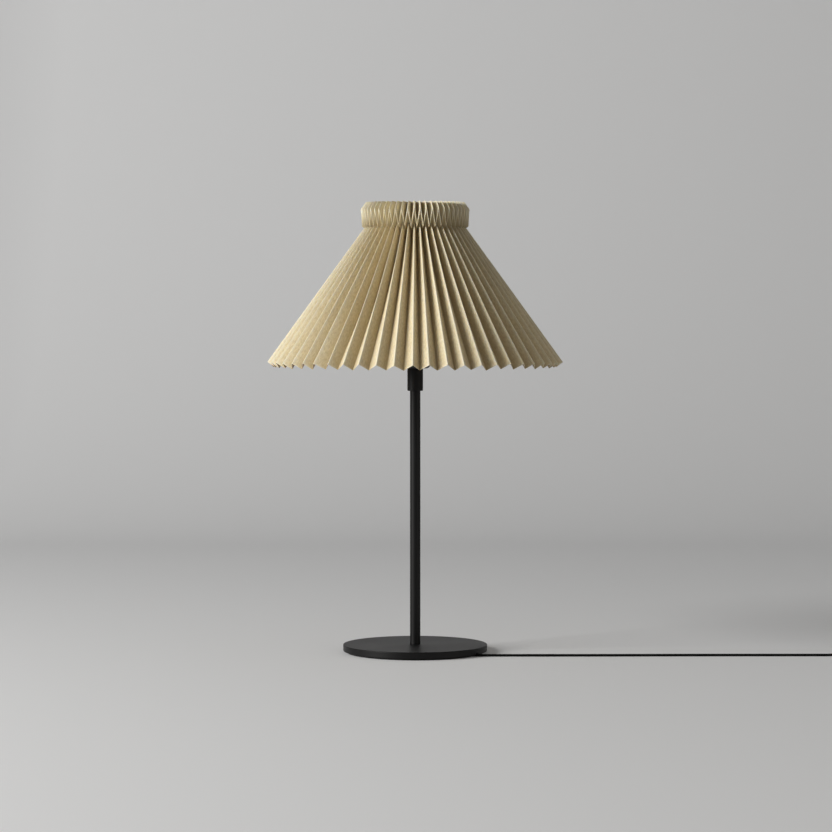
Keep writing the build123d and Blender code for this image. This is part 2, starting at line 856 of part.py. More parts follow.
def coil_place(quarter):
    """Point and direction of the coil's centre line after this many quarter turns."""
    layer = min(quarter // quarters_per_layer, coil_layers - 1)
    turned_in_layer = quarter / 4 - layer * coil_turns_per_layer
    inwards = layer % 2 == 0
    step = coil_pitch * turned_in_layer
    inner_r = coil_outer_r - coil_pitch * coil_turns_per_layer
    radius = coil_outer_r - step if inwards else inner_r + step
    radial_rate = -coil_pitch if inwards else coil_pitch
    height = cord_r + layer * coil_layer
    climb_rate = 0.0
    reverses = quarter % quarters_per_layer == 0 and 0 < quarter < coil_layers * quarters_per_layer
    if reverses:
        height -= coil_layer / 2
        climb_rate = 1.5 * coil_layer / (2 * climb_share)
    elif turned_in_layer < climb_share and layer > 0:
        height -= coil_layer / 2
    if reverses or quarter in (0, round(4 * coil_turns)):
        radial_rate = 0.0
    angle = math.radians(-90 + 90 * quarter)
    outwards = Vector(math.cos(angle), math.sin(angle), 0)
    forwards = Vector(-math.sin(angle), math.cos(angle), 0)
    point = Vector(coil_x, coil_y, height) + outwards * radius
    rate = outwards * radial_rate + forwards * (2 * math.pi * radius) + Vector(0, 0, climb_rate)
    return point, rate.normalized()


def biarc(start, start_way, end, end_way):
    """Joint and joint direction of two arcs that join two directed points smoothly."""
    span = end - start
    spread = 2 * (1 - start_way.dot(end_way))
    lean = 2 * span.dot(start_way + end_way)
    reach = (math.sqrt(lean**2 + 4 * spread * span.dot(span)) - lean) / (2 * spread)
    first = start + start_way * reach
    second = end - end_way * reach
    return (first + second) / 2, (second - first).normalized()


coil_places = [coil_place(quarter) for quarter in range(round(4 * coil_turns) + 1)]
coil_start, coil_start_way = coil_places[0]
coil_end, coil_end_way = coil_places[-1]
with BuildLine() as coil_line:
    Line(coil_start - coil_start_way * cord_d, coil_start)
    for (near, near_way), (far, far_way) in zip(coil_places, coil_places[1:]):
        joint, joint_way = biarc(near, near_way, far, far_way)
        TangentArc(near, joint, tangent=near_way)
        TangentArc(joint, far, tangent=joint_way)
    Line(coil_end, coil_end + coil_end_way * cord_d)
coil_path = coil_line.wires()[0]
with BuildPart() as cord_coil:
    with BuildSketch(start_plane(coil_path)):
        Circle(cord_r)
    sweep(path=coil_path)
save_names(cord_coil, "cord_coil")


def least_self_gap(path, samples):
    """Least gap between stretches of a tube that lie further apart along it than three diameters."""
    points = [path @ (number / samples) for number in range(samples + 1)]
    skip = math.ceil(3 * cord_d * samples / path.length)
    gaps = [
        (points[later] - points[early]).length - cord_d
        for early in range(len(points))
        for later in range(early + skip, len(points))
    ]
    return min(gaps)


coil_gap = least_self_gap(coil_path, coil_gap_samples)
print("cord_coil length", round(coil_path.length, 1), "least gap", round(coil_gap, 2))

tail_start = coil_end + coil_end_way * cord_d
tail_route = (
    tuple(tail_start),
    (tail_start.X, -1.0, tail_start.Z),
    (674, 26, cord_z),
    (663, 41, cord_z),
    (645, plug_axis_y, cord_z),
    (628, plug_axis_y, plug_axis_z),
    (plug_boot_x, plug_axis_y, plug_axis_z),
)
tail_path = cord_path("cord_tail", tail_route)
with BuildPart() as cord_tail:
    with BuildSketch(start_plane(tail_path)):
        Circle(cord_r)
    sweep(path=tail_path)
save_names(cord_tail, "cord_tail")

# ---------------------------------------------------------------- in-line switch
switch_mid_x = switch_x + switch_length / 2
floor_t = 1.6
boss_d = 6.0
screw_hole_r = switch_screw_d / 2 + thread_gap
screw_spots = [(switch_mid_x + side * switch_screw_spacing / 2, switch_y) for side in (-1, 1)]
head_z = 0.4
head_h = 1.4


def switch_plan(inset):
    """Plan of the switch's housing, moved inwards by the inset."""
    with BuildSketch() as plan:
        with Locations((switch_mid_x, switch_y)):
            RectangleRounded(switch_length - 2 * inset, switch_width - 2 * inset, switch_corner - inset)
    return plan.sketch


with BuildPart() as switch_base:
    with BuildSketch():
        add(switch_plan(0))
    extrude(amount=switch_split)
    chamfer(switch_base.edges().group_by(Axis.Z)[0], switch_foot_edge)
    with BuildSketch(Plane.XY.offset(floor_t)):
        add(switch_plan(switch_wall))
        with Locations(*screw_spots):
            Circle(boss_d / 2, mode=Mode.SUBTRACT)
    extrude(amount=switch_split - floor_t, mode=Mode.SUBTRACT)
    with BuildSketch():
        with Locations(*screw_spots):
            Circle(screw_hole_r)
    extrude(amount=switch_split, mode=Mode.SUBTRACT)
    with BuildSketch():
        with Locations(*screw_spots):
            Circle(switch_screw_head_d / 2 + slip_gap)
    extrude(amount=head_z + head_h, mode=Mode.SUBTRACT)
save_names(switch_base, "switch_base")

window_length = 2 * (rocker_reach + free_gap)
window_width = rocker_width + 2 * free_gap
lug_height = switch_height - switch_wall - rocker_pivot_z + pin_d
cover_height = switch_height - switch_split
cover_edge_r = 1.6
with BuildPart() as switch_cover:
    with BuildSketch(Plane.XY.offset(switch_split)):
        add(switch_plan(0))
    extrude(amount=cover_height)
    fillet(switch_cover.edges().group_by(Axis.Z)[-1], cover_edge_r)
    with BuildSketch(Plane.XY.offset(switch_split)):
        add(switch_plan(switch_wall))
        with Locations(*screw_spots):
            Circle(boss_d / 2, mode=Mode.SUBTRACT)
    extrude(amount=cover_height - switch_wall, mode=Mode.SUBTRACT)
    with BuildSketch(Plane.XY.offset(switch_split)):
        with Locations((switch_mid_x, switch_y)):
            Rectangle(window_length, window_width)
    extrude(amount=cover_height, mode=Mode.SUBTRACT)
    for side in (-1, 1):
        with BuildSketch(Plane.XY.offset(switch_height - switch_wall - lug_height)):
            with Locations((switch_mid_x, switch_y + side * (window_width + lug_thickness) / 2)):
                Rectangle(lug_length, lug_thickness)
        extrude(amount=lug_height)
    with BuildSketch(Plane.XZ.offset(-switch_y - pin_length / 2)):
        with Locations((switch_mid_x, rocker_pivot_z)):
            Circle(pin_d / 2 + thread_gap)
    extrude(amount=pin_length, mode=Mode.SUBTRACT)
    with BuildSketch(Plane.XY.offset(switch_split)):
        with Locations(*screw_spots):
            Circle(screw_hole_r)
    extrude(amount=cover_height - switch_wall, mode=Mode.SUBTRACT)
save_names(switch_cover, "switch_cover")

# The rocker is drawn level about its pin and lies tipped on one stop.
tip_way = Vector(1, 0, 0).rotate(Axis.Y, rocker_tilt)
rocker_plane = Plane(
    origin=(switch_mid_x, switch_y, rocker_pivot_z), x_dir=tip_way, z_dir=(0, -1, 0)
)


def rocker_corner(angle):
    return (rocker_reach * math.cos(math.radians(angle)), rocker_reach * math.sin(math.radians(angle)))


low_right = rocker_corner(-rocker_low_angle)
high_right = rocker_corner(rocker_high_angle)
low_left = (-low_right[0], low_right[1])
high_left = (-high_right[0], high_right[1])
with BuildPart() as switch_rocker:
    with BuildSketch(rocker_plane.offset(-rocker_width / 2)):
        with BuildLine():
            Line(low_left, low_right)
            ThreePointArc(low_right, (rocker_reach, 0), high_right)
            Line(high_right, (0, rocker_dip))
            Line((0, rocker_dip), high_left)
            ThreePointArc(high_left, (-rocker_reach, 0), low_left)
        make_face()
        Circle(pin_d / 2 + thread_gap, mode=Mode.SUBTRACT)
    extrude(amount=rocker_width)
save_names(switch_rocker, "switch_rocker")

with BuildPart() as switch_pin:
    with BuildSketch(Plane.XZ.offset(-switch_y - pin_length / 2)):
        with Locations((switch_mid_x, rocker_pivot_z)):
            Circle(pin_d / 2)
    extrude(amount=pin_length)
save_names(switch_pin, "switch_pin")

contact_size = (8.0, 5.0, 2.6)
with BuildPart() as switch_contacts:
    for side in (-1, 1):
        with BuildSketch(Plane.XY.offset(floor_t)):
            with Locations((switch_mid_x + side * switch_contact_spacing / 2, switch_y)):
                Rectangle(contact_size[0], contact_size[1])
        extrude(amount=contact_size[2])
save_names(switch_contacts, "switch_contacts")

screw_tip_z = switch_height - switch_wall - switch_screw_tip_gap
with BuildPart() as switch_screws:
    for spot in screw_spots:
        with BuildSketch(Plane.XY.offset(head_z)):
            with Locations(spot):
                Circle(switch_screw_head_d / 2)
        extrude(amount=head_h)
        with BuildSketch(Plane.XY.offset(head_z + head_h)):
            with Locations(spot):
                Circle(switch_screw_d / 2)
        extrude(amount=screw_tip_z - head_z - head_h)
save_names(switch_screws, "switch_screws")

# ---------------------------------------------------------------- plug
plug_back_x = plug_boot_x - boot_length
plug_face_x = plug_back_x - plug_length


def across_lead(x):
    """Plane across the plug's axis at this x, looking towards the pins."""
    return Plane(origin=(x, plug_axis_y, plug_axis_z), x_dir=(0, 1, 0), z_dir=(-1, 0, 0))


with BuildPart() as plug_boot:
    with BuildSketch(across_lead(plug_boot_x)):
        Circle(cord_r + boot_lip)
    with BuildSketch(across_lead(plug_back_x)):
        Circle(boot_d / 2)
    loft()
save_names(plug_boot, "plug_boot")

with BuildPart() as plug_body:
    with BuildSketch(across_lead(plug_back_x)):
        RectangleRounded(plug_back_width, plug_back_height, plug_corner)
    with BuildSketch(across_lead(plug_face_x)):
        RectangleRounded(plug_width, plug_height, plug_corner)
    loft()
save_names(plug_body, "plug_body")

with BuildPart() as plug_pins:
    for side in (-1, 1):
        with BuildSketch(across_lead(plug_face_x)):
            with Locations((side * pin_spacing / 2, 0)):
                Circle(plug_pin_core_d / 2)
        extrude(amount=plug_sleeve_length)
        with BuildSketch(across_lead(plug_face_x - plug_sleeve_length)):
            with Locations((side * pin_spacing / 2, 0)):
                Circle(plug_pin_d / 2)
        extrude(amount=plug_pin_length - plug_sleeve_length)
    chamfer(plug_pins.edges().group_by(Axis.X)[0], plug_pin_edge)
save_names(plug_pins, "plug_pins")

with BuildPart() as plug_pin_sleeves:
    for side in (-1, 1):
        with BuildSketch(across_lead(plug_face_x)):
            with Locations((side * pin_spacing / 2, 0)):
                Circle(plug_sleeve_d / 2)
                Circle(plug_pin_core_d / 2 + thread_gap, mode=Mode.SUBTRACT)
        extrude(amount=plug_sleeve_length)
save_names(plug_pin_sleeves, "plug_pin_sleeves")
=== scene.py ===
"""A pleated paper table lamp: black steel base and stem, lampholder and bulb, wire carrier and paper shade,
with its lead, in-line switch and plug.

Metres, +Z up, the origin under the middle of the base. The front is -Y and the lead leaves to the right, +X.
"""
import math
import random

import bpy
from mathutils import Matrix, Vector


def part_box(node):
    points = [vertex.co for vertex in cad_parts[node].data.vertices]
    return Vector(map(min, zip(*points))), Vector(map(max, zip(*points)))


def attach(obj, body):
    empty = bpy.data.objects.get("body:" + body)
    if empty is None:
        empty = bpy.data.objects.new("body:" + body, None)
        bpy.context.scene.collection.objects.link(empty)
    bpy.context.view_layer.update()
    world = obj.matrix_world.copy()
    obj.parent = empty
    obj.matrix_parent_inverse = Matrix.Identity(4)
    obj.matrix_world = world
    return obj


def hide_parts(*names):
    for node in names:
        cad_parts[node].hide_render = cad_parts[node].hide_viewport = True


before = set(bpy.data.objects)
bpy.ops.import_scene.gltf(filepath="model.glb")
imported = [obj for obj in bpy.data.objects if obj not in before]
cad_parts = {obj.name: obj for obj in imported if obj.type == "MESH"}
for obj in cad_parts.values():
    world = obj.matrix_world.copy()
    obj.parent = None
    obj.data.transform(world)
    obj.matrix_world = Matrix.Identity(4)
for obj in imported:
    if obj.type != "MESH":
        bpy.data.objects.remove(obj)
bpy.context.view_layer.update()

# ------------------------------------------------------------------------------------------------ camera
# The lamp is seen from 3.7 m away, a little from above, with a long lens.
camera_distance = 3.7
camera_height = 0.4456
camera_aside = 0.001
camera_down = math.radians(2.323)
camera_data = bpy.data.cameras.new("camera")
camera_data.sensor_width = 36.0
camera_data.lens = 128.5
camera_data.clip_end = 60.0
camera = bpy.data.objects.new("camera", camera_data)
camera.location = (camera_aside, -camera_distance, camera_height)
camera.rotation_euler = (math.radians(90) - camera_down, 0, 0)
bpy.context.scene.collection.objects.link(camera)
bpy.context.scene.camera = camera


# ------------------------------------------------------------------------------------------------ lead
# One black round lead of 3.2 mm, from under the base to the plug. It lies almost straight on the table, goes
# through the in-line switch, and what is spare is wound into a neat coil of four layers.
class Reading:
    """What a node gives over the surface. Arithmetic on it adds Math nodes."""

    def __init__(self, nodes, socket):
        self.nodes = nodes
        self.socket = socket

    def math(self, operation, first, second):
        return self.nodes.node("ShaderNodeMath", {"operation": operation}, {0: first, 1: second})

    def __add__(self, other):
        return self.math("ADD", self, other)

    def __sub__(self, other):
        return self.math("SUBTRACT", self, other)

    def __rsub__(self, other):
        return self.math("SUBTRACT", other, self)

    def __mul__(self, other):
        return self.math("MULTIPLY", self, other)

    def away_from(self, value):
        return self.math("ABSOLUTE", self - value, 0.0)

    def swing(self, reach):
        """Up to the reach and down to 0 again, over and over."""
        return self.math("PINGPONG", self, reach)

    def at_most(self, other):
        return self.math("MINIMUM", self, other)

    __radd__ = __add__
    __rmul__ = __mul__


class Nodes:
    """A shader, and the nodes that vary it."""

    def __init__(self, tree, shader):
        self.tree = tree
        self.shader = tree.nodes[shader]

    def feed(self, socket, value):
        if isinstance(value, Reading):
            self.tree.links.new(value.socket, socket)
        else:
            socket.default_value = value

    def set(self, socket, value):
        self.feed(self.shader.inputs[socket], value)

    def node(self, kind, settings, inputs, output=0):
        made = self.tree.nodes.new(kind)
        for setting, value in settings.items():
            if setting == "stops":
                for stop, (place, shade) in zip(made.color_ramp.elements, value):
                    stop.position = place
                    stop.color = (shade, shade, shade, 1.0)
            else:
                setattr(made, setting, value)
        for socket, value in inputs.items():
            self.feed(made.inputs[socket], value)
        return Reading(self, made.outputs[output])

    def noise(self, per_metre, detail=3.0, place=None):
        place = place or self.node("ShaderNodeTexCoord", {}, {}, "Object")
        return self.node("ShaderNodeTexNoise", {}, {"Vector": place, "Scale": per_metre, "Detail": detail})

    def ramp(self, value, low, high, start=0.0, end=1.0):
        """The start value up to low, the end value from high on."""
        return self.node("ShaderNodeValToRGB", {"stops": ((low, start), (high, end))}, {0: value})

    def color(self, share, first, second, socket="Base Color"):
        """A colour between two colours by a share. Either may come from another such call."""
        colors = {
            0: share,
            6: first if isinstance(first, Reading) else (*first, 1.0),
            7: second if isinstance(second, Reading) else (*second, 1.0),
        }
        mixed = self.node("ShaderNodeMix", {"data_type": "RGBA"}, colors, 2)
        self.set(socket, mixed)
        return mixed

    def bump(self, height, depth):
        self.set("Normal", self.node("ShaderNodeBump", {}, {"Height": height, "Distance": depth}))


class Finish(Nodes):
    """One material of the lamp."""

    def __init__(self, name, color, roughness, metallic=0.0, **constants):
        self.material = bpy.data.materials.new(name)
        self.material.use_nodes = True
        super().__init__(self.material.node_tree, "Principled BSDF")
        self.set("Base Color", (*color, 1.0))
        self.set("Roughness", roughness)
        self.set("Metallic", metallic)
        for socket, value in constants.items():
            self.set(socket.replace("_", " "), value)

    def paint(self, *pieces):
        """On new pieces, or on the frame's nodes by their names."""
        for piece in pieces:
            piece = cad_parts[piece] if isinstance(piece, str) else piece
            piece.data.materials.clear()
            piece.data.materials.append(self.material)


def mm(*values):
    """Millimetres to metres, for a point."""
    return tuple(value / 1000 for value in values)


cord_d = 0.0032
cord_r = cord_d / 2
coil_centre = Vector(mm(648, -20.4, 0))
coil_outer_r = 0.0234
coil_pitch = 0.00375
coil_layers = 4
coil_layer = 0.0037
coil_turns = 9.25
turns_per_layer = 2.25
climb_turns = 0.5
coil_start_angle = -90
steps_per_turn = 16
# The smooth line through a ring of points lies inside it by this share of the radius.
ring_share = (3 + math.cos(2 * math.pi / steps_per_turn)) / 4


def coil_point(turns):
    """A point for the coil's line after so many turns: in and out again, a layer higher at each reversal."""
    layer = min(int(turns / turns_per_layer), coil_layers - 1)
    wound = turns - layer * turns_per_layer
    inner_r = coil_outer_r - coil_pitch * turns_per_layer
    radius = coil_outer_r - coil_pitch * wound if layer % 2 == 0 else inner_r + coil_pitch * wound
    climbed = 0.0
    for reversal in range(1, coil_layers):
        share = min(max((turns - reversal * turns_per_layer) / climb_turns + 0.5, 0.0), 1.0)
        climbed += share * share * (3 - 2 * share)
    angle = math.radians(coil_start_angle + 360 * turns)
    ring = Vector((math.cos(angle), math.sin(angle), 0)) * (radius / ring_share)
    return coil_centre + ring + Vector((0, 0, cord_r + coil_layer * climbed))


# From the base's rim through the switch to the coil, the coil's turns, and from the coil to the plug.
route = [
    mm(76.63, -47.2, 1.6),
    mm(225, -47.0, 1.6),
    mm(340, -44.3, 1.6),
    mm(496, -43.85, 1.6),
    mm(520, -43.8, 1.6),
    mm(542, -43.8, 5.2),
    mm(552, -43.8, 5.2),
    mm(610, -43.8, 5.2),
    mm(618, -43.8, 5.2),
    mm(636, -43.8, 1.6),
    mm(644.8, -43.8, 1.6),
]
route += [tuple(coil_point(step / steps_per_turn)) for step in range(int(coil_turns * steps_per_turn) + 1)]
coil_end = coil_point(coil_turns)
route += [
    (coil_end.x, coil_end.y + cord_d, coil_end.z),
    (coil_end.x, -0.001, coil_end.z),
    mm(674, 26, 1.6),
    mm(663, 41, 1.6),
    mm(645, 45.5, 1.6),
    mm(628, 45.5, 6.85),
    mm(616, 45.5, 6.85),
]
lead_curve = bpy.data.curves.new("lead", "CURVE")
lead_curve.dimensions = "3D"
lead_line = lead_curve.splines.new("NURBS")
lead_line.points.add(len(route) - 1)
for point, place in zip(lead_line.points, route):
    point.co = (*place, 1.0)
lead_line.order_u = 3
lead_line.use_endpoint_u = True
lead_line.resolution_u = 6
lead_curve.bevel_depth = cord_r
lead_curve.bevel_resolution = 5
lead_curve.use_fill_caps = True
lead = bpy.data.objects.new("lead", lead_curve)
bpy.context.scene.collection.objects.link(lead)

sheath = Finish("black_sheath", (0.003, 0.003, 0.003), roughness=0.6, Specular_IOR_Level=0.08)
sheath_grain = sheath.noise(per_metre=900)
sheath.set("Roughness", 0.55 + sheath_grain * 0.14)
sheath.color(sheath.noise(per_metre=60), (0.0025, 0.0025, 0.0025), (0.005, 0.005, 0.005))
sheath.bump(sheath_grain, depth=0.00003)
sheath.paint(lead, "stem_flex")
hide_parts("cord_run", "cord_lead", "cord_coil", "cord_tail")
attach(lead, "lamp")

# ------------------------------------------------------------------------------------------------ base
# A disc of 8 mm steel with a black powder coat and a foam pad under it. A threaded pipe, a washer and a nut
# in the recess below hold the stem, and a small strap with two screws holds the lead.
powder_coat = Finish("black_powder_coat", (0.007, 0.007, 0.0075), roughness=0.4, Specular_IOR_Level=0.21)
coat_peel = powder_coat.noise(per_metre=1400, detail=2.0)
coat_cloud = powder_coat.noise(per_metre=14, detail=4.0)
powder_coat.set("Roughness", 0.37 + coat_cloud * 0.12 + coat_peel * 0.06)
powder_coat.color(coat_cloud, (0.0035, 0.0035, 0.0037), (0.007, 0.007, 0.0072))
powder_coat.bump(coat_peel, depth=0.00002)
powder_coat.paint("base_plate")

foam = Finish("black_foam", (0.02, 0.02, 0.02), roughness=0.95)
foam_cells = foam.noise(per_metre=2600, detail=4.0)
foam.color(foam_cells, (0.012, 0.012, 0.012), (0.035, 0.035, 0.035))
foam.bump(foam_cells, depth=0.0002)
foam.paint("base_pad")

zinc = Finish("zinc_plate", (0.62, 0.62, 0.6), roughness=0.35, metallic=1.0)
zinc_cloud = zinc.noise(per_metre=260, detail=4.0)
zinc.set("Roughness", 0.26 + zinc_cloud * 0.2)
zinc.color(zinc_cloud, (0.52, 0.53, 0.53), (0.7, 0.69, 0.64))
zinc.paint("base_washer", "base_nut", "base_nipple", "cord_clamp", "cord_clamp_screws")

# ------------------------------------------------------------------------------------------------ stem
# A steel tube of 13 mm with a thicker sleeve over its top end, both powder coated like the base. A grub screw
# holds the sleeve, and a threaded pipe in it carries the lampholder.
powder_coat.paint("stem_tube", "stem_collar")
zinc.paint("collar_grub_screw", "upper_nipple")

# ------------------------------------------------------------------------------------------------ lampholder
# A black moulded E27 holder: a cap, a shell with a coarse outer thread, a ceramic insert with brass contacts,
# and two ring nuts with finger grips that clamp the shade's carrier between them.
moulding = Finish("black_moulding", (0.014, 0.014, 0.015), roughness=0.5)
moulding_grain = moulding.noise(per_metre=1800)
moulding.set("Roughness", 0.40 + moulding_grain * 0.16)
moulding.color(moulding.noise(per_metre=30), (0.010, 0.010, 0.011), (0.018, 0.018, 0.0185))
moulding.bump(moulding_grain, depth=0.00003)


def spun(name, outline, steps=96):
    """A closed outline in radius and height, turned about the lamp's axis."""
    bpy.ops.object.select_all(action="DESELECT")
    bpy.ops.mesh.primitive_circle_add(vertices=len(outline), radius=1.0)
    piece = bpy.context.object
    piece.name = name
    for vertex, (radius, height) in zip(piece.data.vertices, outline):
        vertex.co = (radius, 0.0, height)
    bpy.ops.object.mode_set(mode="EDIT")
    bpy.ops.mesh.select_all(action="SELECT")
    bpy.ops.mesh.spin(steps=steps, angle=2 * math.pi, center=(0, 0, 0), axis=(0, 0, 1))
    bpy.ops.mesh.select_all(action="SELECT")
    bpy.ops.mesh.remove_doubles(threshold=1e-6)
    bpy.ops.mesh.normals_make_consistent(inside=False)
    bpy.ops.object.mode_set(mode="OBJECT")
    return piece


def smooth(piece, angle=35):
    """Smooth shading, with the edges over this many degrees left sharp."""
    bpy.ops.object.select_all(action="DESELECT")
    piece.select_set(True)
    bpy.context.view_layer.objects.active = piece
    bpy.ops.object.shade_smooth_by_angle(angle=math.radians(angle))


def rows(low, high, count):
    """Evenly spaced heights from low to high."""
    return [low + (high - low) * step / count for step in range(count + 1)]


def cut_thread(piece, core_r, low, high, pitch, depth):
    """A screw thread cut into what lies outside the core's radius, running out at both ends."""
    for vertex in piece.data.vertices:
        x, y, z = vertex.co
        radius = math.hypot(x, y)
        if radius > core_r and low < z < high:
            wave = 0.5 - 0.5 * math.cos(2 * math.pi * (z / pitch - math.atan2(y, x) / (2 * math.pi)))
            run_out = min(1.0, (z - low) / pitch, (high - z) / pitch)
            share = 1 - depth * wave * run_out / radius
            vertex.co = (x * share, y * share, z)


shell_low, shell_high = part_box("holder_shell")
shell_z, shell_top = shell_low[2], shell_high[2]
shell_bore_r = 0.0155
shell_lip = 0.0035
shell_spigot_r = 0.0169
shell_spigot_height = 0.007
shell_flange_r = shell_high[0]
shell_flange_height = 0.005
shell_flange_z = shell_z + shell_spigot_height
shell_thread_z = shell_flange_z + shell_flange_height
shell_thread_r = 0.0183
shell_core_r = 0.017
thread_edge = 0.0006
shell_thread_rows = rows(shell_thread_z, shell_top - thread_edge, 70)
holder_shell = spun(
    "holder_shell_threaded",
    [
        (shell_bore_r - shell_lip, shell_z),
        (shell_spigot_r, shell_z),
        (shell_spigot_r, shell_flange_z),
        (shell_flange_r - thread_edge, shell_flange_z),
        (shell_flange_r, shell_flange_z + thread_edge),
        (shell_flange_r, shell_thread_z - thread_edge),
        (shell_flange_r - thread_edge, shell_thread_z),
        *((shell_thread_r, height) for height in shell_thread_rows),
        (shell_thread_r - thread_edge, shell_top),
        (shell_bore_r, shell_top),
        (shell_bore_r, shell_z + shell_lip),
        (shell_bore_r - shell_lip, shell_z + shell_lip),
    ],
)
cut_thread(holder_shell, shell_core_r, shell_thread_z, shell_top, pitch=0.0025, depth=0.0008)
smooth(holder_shell)
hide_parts("holder_shell")

nut_low, nut_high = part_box("shade_nut_lower")
nut_r = 0.025
nut_bore_r = 0.01835
nut_edge = 0.0008
nut_grips = 24
nut_grip_depth = 0.0009
nut_grip_roundness = 0.7
lower_nut = spun(
    "ring_nut_lower",
    [
        (nut_bore_r, nut_low[2]),
        (nut_r - nut_edge, nut_low[2]),
        (nut_r, nut_low[2] + nut_edge),
        (nut_r, nut_high[2] - nut_edge),
        (nut_r - nut_edge, nut_high[2]),
        (nut_bore_r, nut_high[2]),
    ],
    steps=10 * nut_grips,
)
for vertex in lower_nut.data.vertices:
    x, y, z = vertex.co
    if math.hypot(x, y) > nut_r - 2 * nut_edge:
        dip = max(0.0, -math.cos(nut_grips * math.atan2(y, x))) ** nut_grip_roundness
        share = 1 - nut_grip_depth * dip / nut_r
        vertex.co = (x * share, y * share, z)
smooth(lower_nut)
upper_nut = lower_nut.copy()
upper_nut.data = lower_nut.data.copy()
upper_nut.name = "ring_nut_upper"
bpy.context.scene.collection.objects.link(upper_nut)
upper_nut.data.transform(Matrix.Translation((0, 0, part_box("shade_nut_upper")[0][2] - nut_low[2])))
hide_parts("shade_nut_lower")
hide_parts("shade_nut_upper")
for piece in (holder_shell, lower_nut, upper_nut):
    moulding.paint(piece)
    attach(piece, "lamp")
moulding.paint("holder_cap")
zinc.paint("holder_locknut", "holder_terminal_screws")

ceramic = Finish("white_ceramic", (0.82, 0.8, 0.76), roughness=0.6)
ceramic_grain = ceramic.noise(per_metre=1500)
ceramic.color(ceramic_grain, (0.78, 0.75, 0.7), (0.86, 0.85, 0.82))
ceramic.bump(ceramic_grain, depth=0.00004)
ceramic.paint("holder_insert")

brass = Finish("brass", (0.78, 0.58, 0.26), roughness=0.3, metallic=1.0)
brass_cloud = brass.noise(per_metre=400)
brass.set("Roughness", 0.22 + brass_cloud * 0.2)
brass.color(brass_cloud, (0.70, 0.50, 0.22), (0.82, 0.63, 0.32))
brass.paint("holder_screw_contact", "holder_centre_contact")

core_sleeve = Finish("core_sleeve", (0.05, 0.12, 0.4), roughness=0.45)
core_grain = core_sleeve.noise(per_metre=1200)
core_sleeve.color(core_grain, (0.04, 0.10, 0.36), (0.07, 0.16, 0.46))
core_sleeve.bump(core_grain, depth=0.00003)
core_sleeve.paint("holder_wires")

# ------------------------------------------------------------------------------------------------ carrier
# A ring of 3 mm steel wire on three bent wire arms, welded to a flat hub and powder coated like the base. The
# two ring nuts clamp the hub on the lampholder's thread.
powder_coat.paint("shade_carrier")

# ------------------------------------------------------------------------------------------------ bulb
# A clear globe bulb with four coated filaments on a glass mount. Its nickel-plated cap has a rolled E27
# thread above a black glass insulator, and screws into the lampholder.
nickel = Finish("nickel_plate", (0.72, 0.7, 0.66), roughness=0.22, metallic=1.0)
nickel_cloud = nickel.noise(per_metre=300)
nickel.set("Roughness", 0.15 + nickel_cloud * 0.18)
nickel.color(nickel_cloud, (0.66, 0.64, 0.6), (0.78, 0.77, 0.73))
nickel.paint("bulb_contact")

cap_low, cap_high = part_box("bulb_cap")
bulb_cap_r = cap_high[0]
bulb_cap_wall = 0.0005
bulb_cap_core_r = 0.0122
bulb_thread_low = cap_low[2] + 0.001
bulb_thread_high = cap_high[2] - 0.003
bulb_cap_rows = rows(cap_low[2], cap_high[2], 72)
bulb_cap = spun(
    "bulb_cap_threaded",
    [(bulb_cap_r, height) for height in bulb_cap_rows]
    + [(bulb_cap_r - bulb_cap_wall, height) for height in reversed(bulb_cap_rows)],
)
cut_thread(bulb_cap, bulb_cap_core_r, bulb_thread_low, bulb_thread_high, pitch=0.00362, depth=0.0009)
smooth(bulb_cap, angle=60)
nickel.paint(bulb_cap)
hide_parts("bulb_cap")
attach(bulb_cap, "bulb")

clear_glass = Finish("clear_glass", (0.97, 0.98, 0.98), roughness=0.02, IOR=1.45, Transmission_Weight=1.0)
clear_glass.set("Roughness", clear_glass.noise(per_metre=40) * 0.03)
clear_glass.paint("bulb_glass", "bulb_mount")
black_glass = Finish("black_glass", (0.01, 0.01, 0.012), roughness=0.12)
black_glass.set("Roughness", 0.08 + black_glass.noise(per_metre=500) * 0.1)
black_glass.paint("bulb_insulator")
phosphor = Finish("phosphor", (0.85, 0.62, 0.12), roughness=0.6)
phosphor_grain = phosphor.noise(per_metre=3000)
phosphor.color(phosphor_grain, (0.80, 0.54, 0.08), (0.90, 0.70, 0.2))
phosphor.bump(phosphor_grain, depth=0.00005)
phosphor.paint("bulb_filaments")

# ------------------------------------------------------------------------------------------------ shade
# One long strip of cream paper, about 260 mm wide, in 54 sharp pleats. Near the top the pleats are folded
# over twice, so that a collar stands out above the neck. It rests by its weight on the carrier's ring.
pleats = 54
half_pleat = math.pi / pleats
first_ridge = math.radians(-91.2)
paper_thickness = 0.0003
strip_width = 0.0147
hem_above_holder = 0.0019
hem_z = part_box("holder_cap")[0][2] + hem_above_holder
ridge_hem_rise = 0.0065
ridge_foot_r = 0.1843
valley_foot_r = 0.1761
fold_back_width = 0.0009
least_fold_angle = 12


def crease(foot_r, foot_z, *folds):
    """Corners of a crease in radius and height, from the hem up. A fold is a rise in degrees and a length."""
    corners = [Vector((foot_r, foot_z))]
    for rise, length in folds:
        angle = math.radians(rise)
        corners.append(corners[-1] + Vector((math.cos(angle), math.sin(angle))) * length)
    return corners


